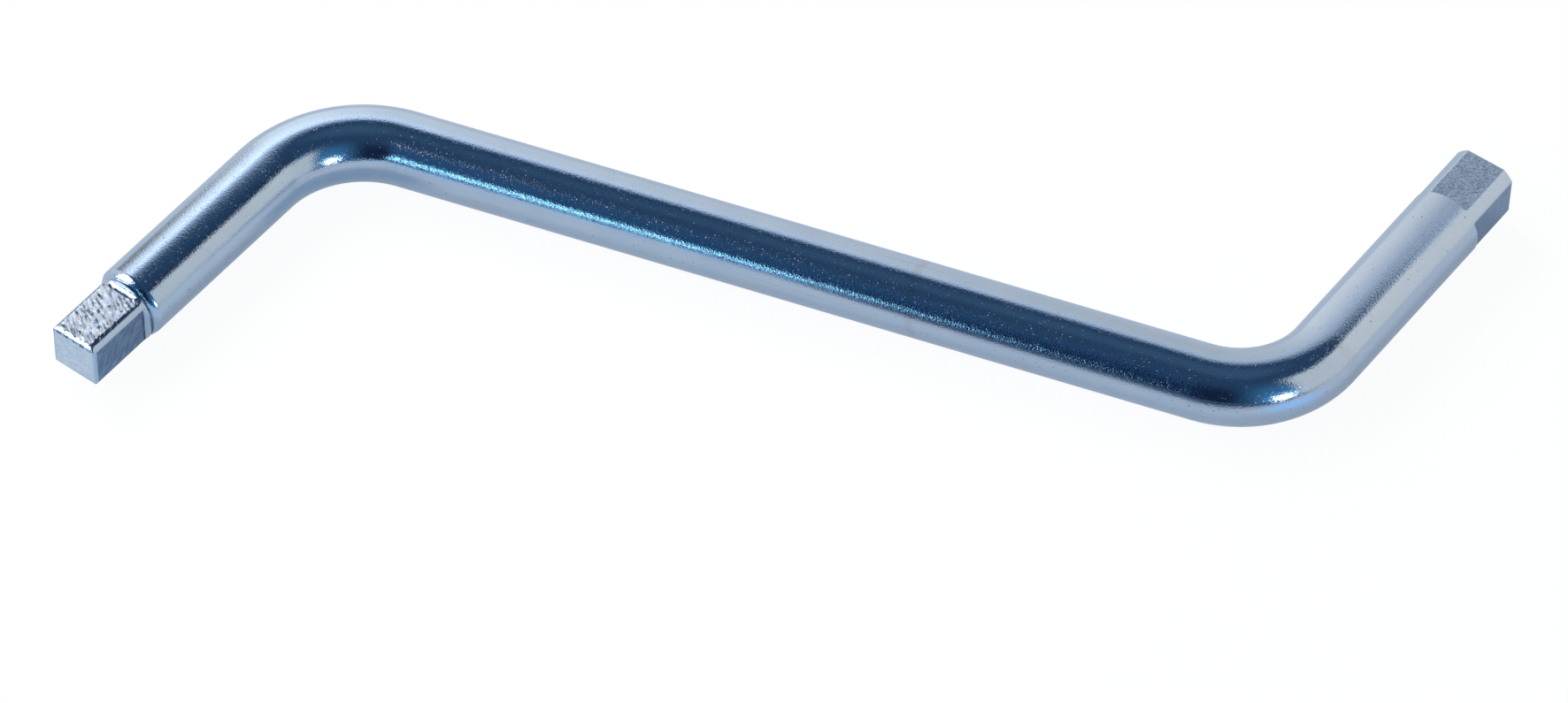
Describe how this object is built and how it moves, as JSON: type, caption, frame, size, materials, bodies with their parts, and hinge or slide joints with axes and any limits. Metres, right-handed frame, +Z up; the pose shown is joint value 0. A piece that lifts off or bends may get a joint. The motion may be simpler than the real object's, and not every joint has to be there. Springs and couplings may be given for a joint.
{
  "type": "drain plug wrench",
  "caption": "Bent round bar wrench with a square drive worked on each end, used to turn square-socket drain plugs.",
  "frame": {"origin": "middle of the footprint of the tool lying on its side, at the level of the bar's lowest line", "axes": "+X along the handle from the small square's end to the large square's end, +Y to the side on which the large square points, +Z up, at right angles to the plane of the crank"},
  "size_m": [0.1974, 0.1136, 0.012],
  "materials": {
    "plated_bar": "bright zinc plate with a blue passivation on steel bar, smooth with fine pits and draw lines",
    "milled_drives": "milled flats, zinc plated, matte with coarse tool marks"
  },
  "bodies": {
    "root": {"small_square_drive": "milled_drives", "small_drive_neck": "plated_bar", "small_end_arm": "plated_bar", "small_end_bend": "plated_bar", "handle_bar": "plated_bar", "large_end_bend": "plated_bar", "large_end_arm": "plated_bar", "large_square_drive": "milled_drives"}
  },
  "joints": []
}
